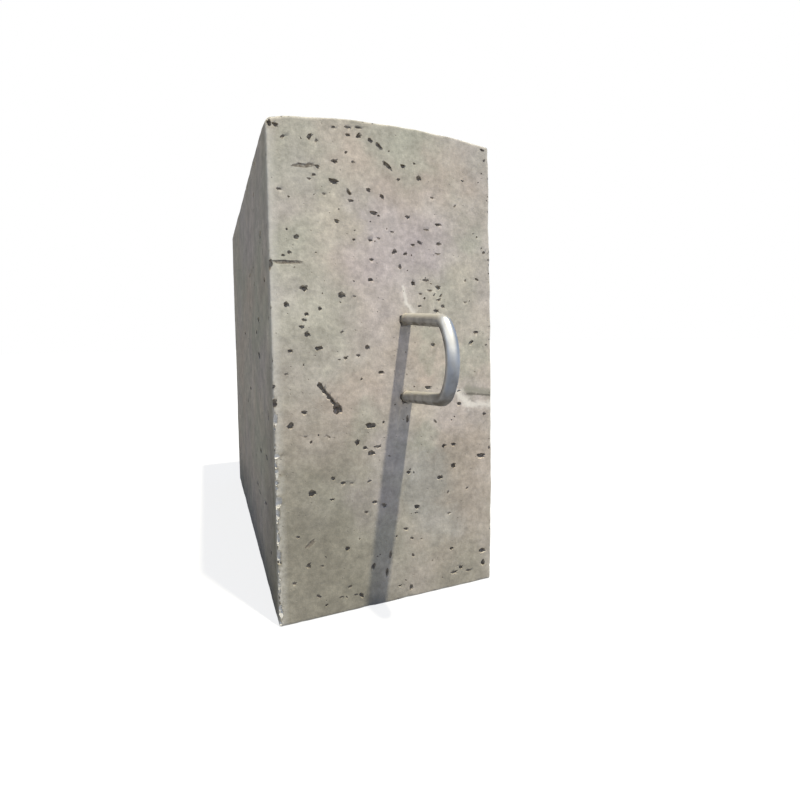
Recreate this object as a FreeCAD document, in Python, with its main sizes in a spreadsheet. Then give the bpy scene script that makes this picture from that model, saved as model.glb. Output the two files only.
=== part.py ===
"""Concrete anchor block: a tall cast block with a bent bar lifting loop in its front face.

Frame: the origin is the middle of the underside, +Z is up, the front face looks along -Y, and
lengths are in millimetres. The block stands on its flat underside and is 1 : 2 in front view.
Its top rises a little between the side faces, as the mould let it. The loop is one round bar
bent to a D, with both legs cast in, a little right of the middle and just above half height.
"""

import FreeCAD, Part

import math
import os

import Sketcher

Vector = FreeCAD.Vector
Z_AXIS = Vector(0, 0, 1)

# Sketcher names the points of a piece of geometry, and the sketch's own axes, by these numbers.
START, END, CENTRE = 1, 2, 3
HORIZONTAL_AXIS, VERTICAL_AXIS = -1, -2
ORIGIN = (HORIZONTAL_AXIS, START)

DIMENSIONS = {
    "block_width": (400, "side face to side face, along X"),
    "block_depth": (800, "front face to back face, along Y"),
    "block_height": (800, "underside to the top's long arrises, along Z"),
    "top_crown": (14, "rise of the top's middle over its long arrises"),
    "arris_radius": (3, "worn rounding of every arris"),
    "bar_diameter": (20, "round bar of the loop"),
    "foot_spacing": (134, "between the legs' centre lines at the face"),
    "shoulder_spacing": (116, "between the points where a leg's and the crown's lines meet"),
    "shoulder_reach": (120, "face to those points"),
    "crown_reach": (143, "face to the crown's centre line at its furthest"),
    "bend_radius": (22, "centre line of the bend between a leg and the crown"),
    "leg_embedment": (160, "length of each leg inside the concrete, square to the face"),
    "loop_offset": (32, "middle of the block to the loop's plane, along X"),
    "loop_rise": (24, "half height of the block to the loop's middle"),
}


def make_sheet(doc):
    """Put the driving dimensions in a spreadsheet, each under its own alias."""
    sheet = doc.addObject("Spreadsheet::Sheet", "Dimensions")
    for row, (alias, (value, note)) in enumerate(DIMENSIONS.items(), start=1):
        sheet.set(f"A{row}", alias)
        sheet.set(f"B{row}", str(value))
        sheet.set(f"C{row}", note)
        sheet.setAlias(f"B{row}", alias)
    doc.recompute()
    return sheet


def new_body(doc, name):
    """An empty PartDesign body."""
    return doc.addObject("PartDesign::Body", name)


def new_sketch(body, name, plane_role):
    """An empty sketch on one of the body's own origin planes."""
    sketch = body.newObject("Sketcher::SketchObject", name)
    plane = next(item for item in body.Origin.OriginFeatures if item.Role == plane_role)
    sketch.AttachmentSupport = [(plane, "")]
    sketch.MapMode = "FlatFace"
    return sketch


def add_line(sketch, first, last):
    """Draw a straight line; returns its number."""
    return sketch.addGeometry(Part.LineSegment(Vector(*first, 0), Vector(*last, 0)), False)


def add_arc(sketch, centre, radius, first_angle, last_angle):
    """Draw an anticlockwise arc; returns its number."""
    circle = Part.Circle(Vector(*centre, 0), Z_AXIS, radius)
    return sketch.addGeometry(Part.ArcOfCircle(circle, first_angle, last_angle), False)


def add_point(sketch, place):
    """Put a construction point; returns the place's name for constraints."""
    return sketch.addGeometry(Part.Point(Vector(*place, 0)), True), START


def relate(sketch, kind, *items):
    """Add a geometric constraint."""
    sketch.addConstraint(Sketcher.Constraint(kind, *items))


def dimension(sketch, kind, *items, value, formula):
    """Add a dimensional constraint that follows a formula of the sheet's aliases."""
    index = sketch.addConstraint(Sketcher.Constraint(kind, *items, value))
    sketch.setExpression(f"Constraints[{index}]", formula)


def draw_block_outline(sketch, size):
    """The front view of the block: flat foot, two upright sides and a crowned top."""
    half, height, crown = size.block_width / 2, size.block_height, size.top_crown
    radius = (half**2 + crown**2) / (2 * crown)
    spread = math.asin(half / radius)
    foot = add_line(sketch, (-half, 0), (half, 0))
    right = add_line(sketch, (half, 0), (half, height))
    centre = (0, height + crown - radius)
    top = add_arc(sketch, centre, radius, math.pi / 2 - spread, math.pi / 2 + spread)
    left = add_line(sketch, (-half, height), (-half, 0))
    sides = [foot, right, top, left]
    for side, following in zip(sides, sides[1:] + sides[:1]):
        relate(sketch, "Coincident", side, END, following, START)
    relate(sketch, "Horizontal", foot)
    relate(sketch, "Vertical", right)
    relate(sketch, "Vertical", left)
    relate(sketch, "Symmetric", foot, START, foot, END, *ORIGIN)
    relate(sketch, "Equal", right, left)
    crest = add_point(sketch, (0, height + crown))
    relate(sketch, "PointOnObject", *crest, top)
    relate(sketch, "PointOnObject", *crest, VERTICAL_AXIS)
    dimension(sketch, "DistanceX", foot, START, foot, END,
              value=2 * half, formula="Dimensions.block_width")
    dimension(sketch, "DistanceY", right, START, right, END,
              value=height, formula="Dimensions.block_height")
    dimension(sketch, "DistanceY", *ORIGIN, *crest,
              value=height + crown, formula="Dimensions.block_height + Dimensions.top_crown")


def make_block_body(doc, size):
    """The cast block before the bar takes its room: the outline padded front to back."""
    body = new_body(doc, "Block")
    outline = new_sketch(body, "BlockOutline", "XZ_Plane")
    draw_block_outline(outline, size)
    pad = body.newObject("PartDesign::Pad", "BlockPad")
    pad.Profile = outline
    pad.Midplane = True
    pad.setExpression("Length", "Dimensions.block_depth")
    outline.Visibility = False
    doc.recompute()
    arrises = body.newObject("PartDesign::Fillet", "WornArrises")
    arrises.Base = (pad, [f"Edge{i + 1}" for i in range(len(pad.Shape.Edges))])
    arrises.setExpression("Radius", "Dimensions.arris_radius")
    doc.recompute()
    return body


def bend_centre(size, slope, crown_centre, crown_radius):
    """Where the upper bend's arc is centred: the arc touches the leg and the crown from inside.

    The leg's line is height = foot_spacing / 2 + slope * place. Moving it inwards by the bend's
    radius gives a line that meets the circle of crown_radius less that radius in the centre.
    """
    lean = math.hypot(1, slope)
    level = size.foot_spacing / 2 - size.bend_radius * lean
    reach = crown_radius - size.bend_radius
    half_sum = (slope * level - crown_centre) / lean**2
    rest = (crown_centre**2 + level**2 - reach**2) / lean**2
    place = -half_sum - math.sqrt(half_sum**2 - rest)
    return place, level + slope * place


def draw_loop_path(sketch, size):
    """The bar's centre line: leg, bend, crown, bend, leg, the same above and below the axis.

    The sketch's first axis points into the concrete and starts at the face, so the loop lies
    on its negative side. Its second axis points up.
    """
    half_foot, half_shoulder = size.foot_spacing / 2, size.shoulder_spacing / 2
    slope = (half_foot - half_shoulder) / size.shoulder_reach
    rise = size.crown_reach - size.shoulder_reach
    crown_radius = (half_shoulder**2 + rise**2) / (2 * rise)
    crown_centre = crown_radius - size.crown_reach
    bend_x, bend_y = bend_centre(size, slope, crown_centre, crown_radius)
    leg_turn = math.pi / 2 + math.atan(slope)
    crown_turn = math.atan2(bend_y, bend_x - crown_centre)
    leg_end = (size.leg_embedment, half_foot + slope * size.leg_embedment)
    tangent = (bend_x + size.bend_radius * math.cos(leg_turn),
               bend_y + size.bend_radius * math.sin(leg_turn))

    upper_leg = add_line(sketch, leg_end, tangent)
    upper_bend = add_arc(sketch, (bend_x, bend_y), size.bend_radius, leg_turn, crown_turn)
    crown = add_arc(sketch, (crown_centre, 0), crown_radius, crown_turn, -crown_turn)
    lower_bend = add_arc(sketch, (bend_x, -bend_y), size.bend_radius, -crown_turn, -leg_turn)
    lower_leg = add_line(sketch, (tangent[0], -tangent[1]), (leg_end[0], -leg_end[1]))

    run = [upper_leg, upper_bend, crown, lower_bend, lower_leg]
    for stretch, following in zip(run, run[1:]):
        relate(sketch, "Tangent", stretch, END, following, START)
    relate(sketch, "Symmetric", upper_leg, START, lower_leg, END, HORIZONTAL_AXIS)
    relate(sketch, "Symmetric", upper_leg, END, lower_leg, START, HORIZONTAL_AXIS)
    relate(sketch, "Equal", upper_bend, lower_bend)

    foot = add_point(sketch, (0, half_foot))
    relate(sketch, "PointOnObject", *foot, upper_leg)
    relate(sketch, "PointOnObject", *foot, VERTICAL_AXIS)
    shoulder = add_point(sketch, (-size.shoulder_reach, half_shoulder))
    relate(sketch, "PointOnObject", *shoulder, upper_leg)
    relate(sketch, "PointOnObject", *shoulder, crown)
    furthest = add_point(sketch, (-size.crown_reach, 0))
    relate(sketch, "PointOnObject", *furthest, crown)
    relate(sketch, "PointOnObject", *furthest, HORIZONTAL_AXIS)

    dimension(sketch, "DistanceX", *ORIGIN, upper_leg, START,
              value=size.leg_embedment, formula="Dimensions.leg_embedment")
    dimension(sketch, "DistanceY", *ORIGIN, *foot,
              value=half_foot, formula="Dimensions.foot_spacing / 2")
    dimension(sketch, "DistanceY", *ORIGIN, *shoulder,
              value=half_shoulder, formula="Dimensions.shoulder_spacing / 2")
    dimension(sketch, "DistanceX", *shoulder, *ORIGIN,
              value=size.shoulder_reach, formula="Dimensions.shoulder_reach")
    dimension(sketch, "DistanceX", *furthest, *ORIGIN,
              value=size.crown_reach, formula="Dimensions.crown_reach")
    dimension(sketch, "Radius", upper_bend,
              value=size.bend_radius, formula="Dimensions.bend_radius")


def make_loop_body(doc, size):
    """The lifting loop: a round section piped along the bent centre line."""
    body = new_body(doc, "Loop")
    path = new_sketch(body, "LoopPath", "YZ_Plane")
    draw_loop_path(path, size)
    doc.recompute()
    section = body.newObject("Sketcher::SketchObject", "BarSection")
    section.AttachmentSupport = [(path, "Edge1")]
    section.MapMode = "NormalToEdge"
    section.MapPathParameter = 0
    circle = section.addGeometry(Part.Circle(Vector(0, 0, 0), Z_AXIS, size.bar_diameter / 2), False)
    relate(section, "Coincident", circle, CENTRE, *ORIGIN)
    dimension(section, "Diameter", circle,
              value=size.bar_diameter, formula="Dimensions.bar_diameter")
    doc.recompute()
    bar = body.newObject("PartDesign::AdditivePipe", "Bar")
    bar.Profile = section
    bar.Spine = (path, [f"Edge{i + 1}" for i in range(len(path.Shape.Edges))])
    body.setExpression("Placement.Base.x", "Dimensions.loop_offset")
    body.setExpression("Placement.Base.y", "-Dimensions.block_depth / 2")
    body.setExpression("Placement.Base.z", "Dimensions.block_height / 2 + Dimensions.loop_rise")
    doc.recompute()
    return body


def cast_round(doc, block, bar):
    """The concrete as poured: the block less the room that the bar takes in it."""
    cast = doc.addObject("Part::Cut", "CastBlock")
    cast.Base = block
    cast.Tool = bar
    doc.recompute()
    return cast


def check(doc, pieces):
    """Stop if any object failed to build or any piece isn't one sound solid."""
    for item in doc.Objects:
        faults = {"Invalid", "Error"} & set(item.State)
        if faults:
            raise RuntimeError(f"{item.Name} is {', '.join(sorted(faults))}")
    for piece in pieces:
        shape = piece.Shape
        if shape.isNull() or not shape.isValid() or len(shape.Solids) != 1:
            raise RuntimeError(f"{piece.Label} is not one sound solid")


def export(pieces):
    """Write each piece to a STEP file named after its label."""
    os.makedirs("parts", exist_ok=True)
    for piece in pieces:
        piece.Shape.exportStep(f"parts/{piece.Label}.step")
        box = piece.Shape.BoundBox
        print(f"{piece.Label}: {piece.Shape.Volume:.0f} mm3, {box.XLength:.1f} x "
              f"{box.YLength:.1f} x {box.ZLength:.1f} mm, z {box.ZMin:.1f} to {box.ZMax:.1f}")


def main():
    """Build the document and write its pieces."""
    doc = FreeCAD.newDocument("ConcreteAnchorBlock")
    size = make_sheet(doc)
    block = make_block_body(doc, size)
    loop = make_loop_body(doc, size)
    cast = cast_round(doc, block, loop)
    cast.Label = "concrete_block"
    loop.Label = "lifting_loop"
    pieces = [cast, loop]
    check(doc, pieces)
    export(pieces)


main()
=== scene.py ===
"""Looks of the concrete anchor block: a pitted cast block and its bent steel lifting loop.

Lengths are in metres and the frame is the part's own: the origin is the middle of the underside,
+Z is up and the front face, which carries the loop, looks along -Y. Places on a face that are
listed one by one are in millimetres and say so.
"""

import logging
import math
from dataclasses import dataclass, field
from enum import Enum
from functools import partial
from typing import Any, Callable, Sequence

import bpy
import numpy as np
from mathutils import Euler, Matrix, Vector, noise

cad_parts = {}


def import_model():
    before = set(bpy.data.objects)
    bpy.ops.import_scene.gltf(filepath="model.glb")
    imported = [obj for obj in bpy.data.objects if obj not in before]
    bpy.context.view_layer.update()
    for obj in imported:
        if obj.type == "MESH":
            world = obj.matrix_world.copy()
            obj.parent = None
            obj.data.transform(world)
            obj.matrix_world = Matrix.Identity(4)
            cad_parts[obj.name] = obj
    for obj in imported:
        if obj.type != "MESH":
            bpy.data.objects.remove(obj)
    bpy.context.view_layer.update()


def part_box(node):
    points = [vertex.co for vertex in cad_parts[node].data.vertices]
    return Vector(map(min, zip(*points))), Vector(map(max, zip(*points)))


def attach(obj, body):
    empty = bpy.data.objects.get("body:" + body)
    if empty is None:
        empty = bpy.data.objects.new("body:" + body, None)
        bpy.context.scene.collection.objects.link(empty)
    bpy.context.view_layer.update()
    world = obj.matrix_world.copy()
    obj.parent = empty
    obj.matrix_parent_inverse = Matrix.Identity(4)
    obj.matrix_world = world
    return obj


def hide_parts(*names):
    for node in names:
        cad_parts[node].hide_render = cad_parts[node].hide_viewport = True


LOG = logging.getLogger("anchor_block")
MM = 0.001
LUMP_COUNT = 6
WHITE = (1.0, 1.0, 1.0, 1.0)
Socket = bpy.types.NodeSocket
Tree = bpy.types.NodeTree
Colour = tuple[float, float, float, float]
# add_node with its tree filled in.
Add = Callable[..., Any]
# A coat's share from 0 to 1, and its hex colour or a level that multiplies what lies below.
Coat = tuple[Any, Any]


# ---------------------------------------------------------------- colours and nodes


def linear(hex_colour: str) -> Colour:
    """Turn an sRGB hex colour into the linear colour that a socket takes.

    Args:
        hex_colour: six hex digits, such as "B5AEA2".

    Returns:
        Linear red, green, blue and an alpha of 1.
    """
    values = [int(hex_colour[i : i + 2], 16) / 255 for i in (0, 2, 4)]
    curve = [v / 12.92 if v <= 0.04045 else ((v + 0.055) / 1.055) ** 2.4 for v in values]
    return (curve[0], curve[1], curve[2], 1.0)


def per_metre(size_mm: float) -> float:
    """Scale of a pattern whose features are this many millimetres apart."""
    return 1.0 / (size_mm * MM)


def add_node(tree: Tree, kind: str, inputs: dict | Sequence = (), **settings: Any) -> Any:
    """Add a node, set its settings, and fill or link its inputs.

    Args:
        tree: the shader or geometry tree that gets the node.
        kind: the node's type without its family, such as Math for ShaderNodeMath.
        inputs: what goes into the inputs, in their order or by name: a value, a socket, a node
            whose first output is taken, or a list of sockets that one input joins.
        settings: the node's own properties.

    Returns:
        The node.
    """
    families = ["GeometryNode", "FunctionNode", "ShaderNode", "Node"]
    if tree.type == "SHADER":
        families = ["ShaderNode"]
    node = tree.nodes.new(next(f + kind for f in families if hasattr(bpy.types, f + kind)))
    for name, value in settings.items():
        setattr(node, name, value)
    for key, value in inputs.items() if isinstance(inputs, dict) else enumerate(inputs):
        target = node.inputs[key]
        if isinstance(key, str):
            target = next(s for s in node.inputs if s.name == key and s.enabled)
        for item in value if isinstance(value, list) else [value]:
            if isinstance(item, bpy.types.Node):
                item = next(s for s in item.outputs if s.enabled)
            if isinstance(item, Socket):
                tree.links.new(item, target)
            else:
                target.default_value = item
    return node


def start_shading(data: Any) -> Add:
    """Give a new material or world an empty tree, and return what adds a node to it."""
    data.use_nodes = True
    data.node_tree.nodes.clear()
    return partial(add_node, data.node_tree)


def uneven(add: Add, place: Any, size_mm: float, low: float, high: float,
           reach: tuple[float, float] = (0.3, 0.7), detail: float = 3.0) -> Any:
    """Soft noise that sways between two values.

    Args:
        add: adds a node.
        place: where each point is.
        size_mm: size of the noise's features.
        low: the value where the noise is weak.
        high: the value where it is strong.
        reach: the noise levels between which the value changes.
        detail: octaves of finer noise.

    Returns:
        The node that gives the value.
    """
    cloud = add("TexNoise", {"Vector": place, "Scale": per_metre(size_mm), "Detail": detail})
    return add("MapRange", [cloud, *reach, low, high])


def coated(add: Add, base: str, coats: Sequence[Coat]) -> Any:
    """Lay coats over a base colour, one over the other.

    Args:
        add: adds a node.
        base: the hex colour below them all.
        coats: the coats, the lowest first.

    Returns:
        The node that gives the colour.
    """
    colour: Any = linear(base)
    for share, tone in coats:
        paint = isinstance(tone, str)
        colour = add("Mix", {"Factor": share, "A": colour, "B": linear(tone) if paint else tone},
                     data_type="RGBA", blend_type="MIX" if paint else "MULTIPLY")
    return colour


def geometry_tree(name: str, sockets: dict[str, str]) -> tuple[Tree, Add, Any]:
    """Start a Geometry Nodes tree with named inputs.

    Args:
        name: the tree's name.
        sockets: each further input's name and the kind of its socket, such as Float.

    Returns:
        The tree, what adds a node to it, and the sockets that its inputs come from.
    """
    tree = bpy.data.node_groups.new(name, "GeometryNodeTree")
    for label, kind in {"Geometry": "Geometry", **sockets}.items():
        tree.interface.new_socket(label, in_out="INPUT", socket_type="NodeSocket" + kind)
    tree.interface.new_socket("Geometry", in_out="OUTPUT", socket_type="NodeSocketGeometry")
    add = partial(add_node, tree)
    return tree, add, add("GroupInput").outputs


def close_tree(add: Add, geometry: Any, finish: Socket) -> None:
    """End a tree: realize the instances, set the material and output the result."""
    real = add("RealizeInstances", [geometry])
    add("GroupOutput", [add("SetMaterial", {"Geometry": real, "Material": finish})])


def run_tree(source: bpy.types.Object, tree: Tree, values: dict[str, Any]) -> bpy.types.Mesh:
    """Run a tree on an object once and keep the result as a plain mesh.

    Args:
        source: the object whose geometry goes in; it is removed afterwards.
        tree: the Geometry Nodes tree.
        values: the tree's inputs by name.

    Returns:
        The finished mesh.
    """
    modifier = source.modifiers.new(tree.name, "NODES")
    modifier.node_group = tree
    for item in tree.interface.items_tree:
        if item.item_type == "SOCKET" and item.in_out == "INPUT" and item.name in values:
            modifier[item.identifier] = values[item.name]
    evaluated = source.evaluated_get(bpy.context.evaluated_depsgraph_get())
    mesh = bpy.data.meshes.new_from_object(evaluated)
    source.modifiers.remove(modifier)
    bpy.data.objects.remove(source)
    return mesh


def new_object(name: str, data: Any) -> bpy.types.Object:
    """Link a mesh, a lamp or a camera to the scene as an object at the origin."""
    made = bpy.data.objects.new(name, data)
    bpy.context.scene.collection.objects.link(made)
    return made


def line_object(name: str, ends: Sequence[Vector], step: int) -> bpy.types.Object:
    """A helper object of loose edges.

    Args:
        name: the object's name.
        ends: the ends of the edges.
        step: 2 where each pair of ends is an edge, or 1 where they follow each other.

    Returns:
        The object.
    """
    mesh = bpy.data.meshes.new(name)
    mesh.from_pydata(ends, [(i, i + 1) for i in range(0, len(ends) - 1, step)], [])
    return new_object(name, mesh)


# ---------------------------------------------------------------- finishes


@dataclass(frozen=True)
class Stain:
    """A soft stain on the skin, with a ragged rim that fades out."""

    centre: Vector
    reach: float
    colour: str
    strength: float


@dataclass(frozen=True)
class Streak:
    """A straight soft streak on the skin, such as a band of painted light or painted shade."""

    start: Vector
    end: Vector
    width: float
    colour: str


@dataclass(frozen=True)
class CastConcrete:
    """Plain concrete, cast against a smooth steel mould.

    The mould leaves a closed, matt skin of cement paste. It gives the eye soft cloudy patches
    of slightly different greys and beiges, fine sand speckle, air voids and pinholes darkened with
    painted shade, and paler, rubbed arrises. The foot of the block is darker, more so at the left,
    and the top is darker with settled dirt and with painted shade that tones down the strong key
    light there. The sand speckle is twice as coarse as real, so it shows.
    """

    body: str = "B5ADA1"
    warm_patch: str = "B8AB9E"
    green_patch: str = "AAA89A"
    cool_patch: str = "B4ABA7"
    # darker towards the foot and towards the left
    darker_foot: str = "858073"
    # settled dirt on the top, with painted shade that tones down the strong key light there
    dusty_shaded_top: str = "968F84"
    rubbed_arris: str = "C9C5BC"
    fresh_break: str = "DAD7D0"
    # painted shade that darkens the voids towards the bottom
    void_shade: str = "6B6359"
    # painted shade in the pinholes
    pinhole_shade: str = "7D776E"
    patch_mm: float = 170.0
    mottle_mm: tuple[tuple[float, float], ...] = ((46.0, 0.10), (19.0, 0.14), (7.0, 0.11))
    sand_mm: float = 2.2
    sand_swing: float = 0.08
    pinhole_gap_mm: float = 10.0
    pinhole_share: float = 0.4
    skin_mm: float = 11.0
    grit_mm: float = 1.8
    relief: float = 0.0011
    stain_rim_mm: float = 60.0
    stain_sway: float = 0.16
    darker_foot_height: float = 0.44
    darker_foot_lean: float = 0.9
    darker_foot_depth: float = 0.16
    dusty_shaded_depth: float = 0.03
    roughness: float = 0.88
    roughness_sway: float = 0.06

    def build(self, front: float, top: float, stains: Sequence[Stain],
              streaks: Sequence[Streak]) -> bpy.types.Material:
        """Make the material.

        Args:
            front: where the front face is along Y.
            top: height of the top's crest.
            stains: soft stains on the skin.
            streaks: straight streaks on the skin.

        Returns:
            The material.
        """
        material = bpy.data.materials.new("cast_concrete_skin")
        add = start_shading(material)
        place = add("TexCoord").outputs["Object"]
        holes = self._pinholes(add, place)
        coats = [
            *self._patches(add, place),
            *self._stained(add, place, stains),
            (self._darker_foot(add, place, front), self.darker_foot),
            *self._mottle(add, place),
            *((self._run(add, place, streak), streak.colour) for streak in streaks),
            *self._wear_and_void_shade(add, place),
            # settled dirt and painted shade on the top
            (self._dust_and_shade(add, place, top), self.dusty_shaded_top),
            # painted shade in the pinholes
            (holes, self.pinhole_shade),
        ]
        rough = uneven(add, place, 30.0, self.roughness - self.roughness_sway,
                       self.roughness + self.roughness_sway, reach=(0.0, 1.0), detail=2.0)
        shader = add("BsdfPrincipled", {
            "Base Color": coated(add, self.body, coats), "Roughness": rough,
            "Specular IOR Level": 0.3, "Normal": self._relief(add, place, holes)})
        add("OutputMaterial", [shader])
        return material

    def _patches(self, add: Add, place: Socket) -> list[Coat]:
        """Cloudy patches of the cement skin, each colour with its own pattern."""
        coats = []
        for number, patch in enumerate((self.warm_patch, self.green_patch, self.cool_patch)):
            moved = add("VectorMath", [place, (1.3 + 2.9 * number, 0.8 * number, -1.7 * number)])
            coats.append((uneven(add, moved, self.patch_mm, 0.0, 0.75, (0.46, 0.66)), patch))
        return coats

    def _stained(self, add: Add, place: Socket, stains: Sequence[Stain]) -> list[Coat]:
        """The soft stains, their rims pushed about by noise."""
        ragged = add("TexNoise", {
            "Vector": place, "Scale": per_metre(self.stain_rim_mm), "Detail": 4.0})
        push = add("VectorMath", [ragged.outputs["Color"], (self.stain_sway,) * 3,
                                  (-self.stain_sway / 2,) * 3], operation="MULTIPLY_ADD")
        loose = add("VectorMath", [place, push])
        coats = []
        for stain in stains:
            gap = add("VectorMath", [loose, stain.centre], operation="DISTANCE")
            share = add("MapRange", [gap, 0.25 * stain.reach, stain.reach, stain.strength, 0.0],
                        interpolation_type="SMOOTHSTEP")
            coats.append((share, stain.colour))
        return coats

    def _darker_foot(self, add: Add, place: Socket, front: float) -> Any:
        """Share of the darker foot: at the front's foot, further up at the left, and less further
        back.
        """
        across, deep, height = add("SeparateXYZ", [place]).outputs
        sway = uneven(add, place, 110.0, -0.08, 0.14, detail=4.0)
        lean = add("Math", [across, self.darker_foot_lean, sway], operation="MULTIPLY_ADD")
        level = add("Math", [height, lean])
        less_further_back = add("MapRange", [deep, front, front + self.darker_foot_depth, 0.0, 0.42])
        level = add("Math", [level, less_further_back])
        return add("MapRange", [level, -0.02, self.darker_foot_height, 0.95, 0.0])

    def _mottle(self, add: Add, place: Socket) -> list[Coat]:
        """Lighter and darker mottling in several sizes, down to the sand speckle."""
        coats = []
        for size_mm, swing in (*self.mottle_mm, (self.sand_mm, self.sand_swing)):
            moved = add("VectorMath", [place, (size_mm, 0.0, 2.3)])
            coats.append((1.0, uneven(add, moved, size_mm, 1.0 - swing, 1.0 + swing)))
        return coats

    def _run(self, add: Add, place: Socket, streak: Streak) -> Any:
        """Share of a streak: full on its line, fading over its ragged width."""
        along = (streak.end - streak.start).normalized()
        away = add("VectorMath", [place, streak.start], operation="SUBTRACT")
        reach = add("VectorMath", [away, along], operation="DOT_PRODUCT")
        held = add("Clamp", [reach, 0.0, (streak.end - streak.start).length])
        foot = add("VectorMath", {"Vector": along, "Scale": held}, operation="SCALE")
        gap = add("VectorMath", [away, foot], operation="DISTANCE")
        wide = uneven(add, place, 9.0, 0.35 * streak.width, 1.4 * streak.width, detail=4.0)
        near = add("Math", [gap, wide], operation="DIVIDE")
        return add("MapRange", [near, 0.0, 1.0, 0.85, 0.0], interpolation_type="SMOOTHSTEP")

    def _wear_and_void_shade(self, add: Add, place: Socket) -> list[Coat]:
        """Pale rubbed arrises and fresh breaks, and painted shade in the voids, darker towards the
        bottom.
        """
        grit = add("TexNoise", {"Vector": place, "Scale": per_metre(5.0), "Detail": 3.0})
        coats = []
        for name, tone, most in (("rubbed", self.rubbed_arris, 1.5),
                                 ("fresh", self.fresh_break, 1.5),
                                 # painted shade in the voids, darker towards the bottom
                                 ("deep", self.void_shade, 1.7)):
            mark = add("Attribute", attribute_name=name).outputs["Fac"]
            patchy = add("Math", [grit, most], operation="MULTIPLY")
            share = add("Math", [mark, patchy], operation="MULTIPLY", use_clamp=True)
            coats.append((share, tone))
        return coats

    def _dust_and_shade(self, add: Add, place: Socket, top: float) -> Any:
        """Share of the darker top, settled dirt and painted shade that tones down the strong key
        light there: patchy, on whatever faces up at the top.
        """
        way = add("NewGeometry").outputs["Normal"]
        upward = add("SeparateXYZ", [way]).outputs["Z"]
        height = add("SeparateXYZ", [place]).outputs["Z"]
        high = add("Math", [height, top - self.dusty_shaded_depth], operation="GREATER_THAN")
        facing = add("MapRange", [upward, 0.3, 0.9, 0.0, 0.9])
        patchy_top = uneven(add, place, 75.0, 0.45, 1.0, (0.35, 0.65), detail=5.0)
        share = add("Math", [high, facing], operation="MULTIPLY")
        return add("Math", [share, patchy_top], operation="MULTIPLY")

    def _pinholes(self, add: Add, place: Socket) -> Any:
        """Pinholes of one or two millimetres, too small to be cut: the mask of their painted shade
        and their bump.
        """
        cells = add("TexVoronoi", {"Vector": place, "Scale": per_metre(self.pinhole_gap_mm)})
        dots = add("MapRange", [cells.outputs["Distance"], 0.05, 0.12, 1.0, 0.0])
        chance = add("SeparateColor", [cells.outputs["Color"]])
        kept = add("Math", [chance, 1.0 - self.pinhole_share], operation="GREATER_THAN")
        return add("Math", [dots, kept], operation="MULTIPLY")

    def _relief(self, add: Add, place: Socket, holes: Any) -> Any:
        """Bump of the skin: soft unevenness, sand grit and the pinholes."""
        skin, grit = (
            add("TexNoise", {"Vector": place, "Scale": per_metre(size_mm), "Detail": detail})
            for size_mm, detail in ((self.skin_mm, 5.0), (self.grit_mm, 2.0)))
        height = add("Math", [grit, 0.25, skin], operation="MULTIPLY_ADD")
        height = add("Math", [height, holes], operation="SUBTRACT")
        return add("Bump", {"Strength": 0.6, "Distance": self.relief, "Height": height})


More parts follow.
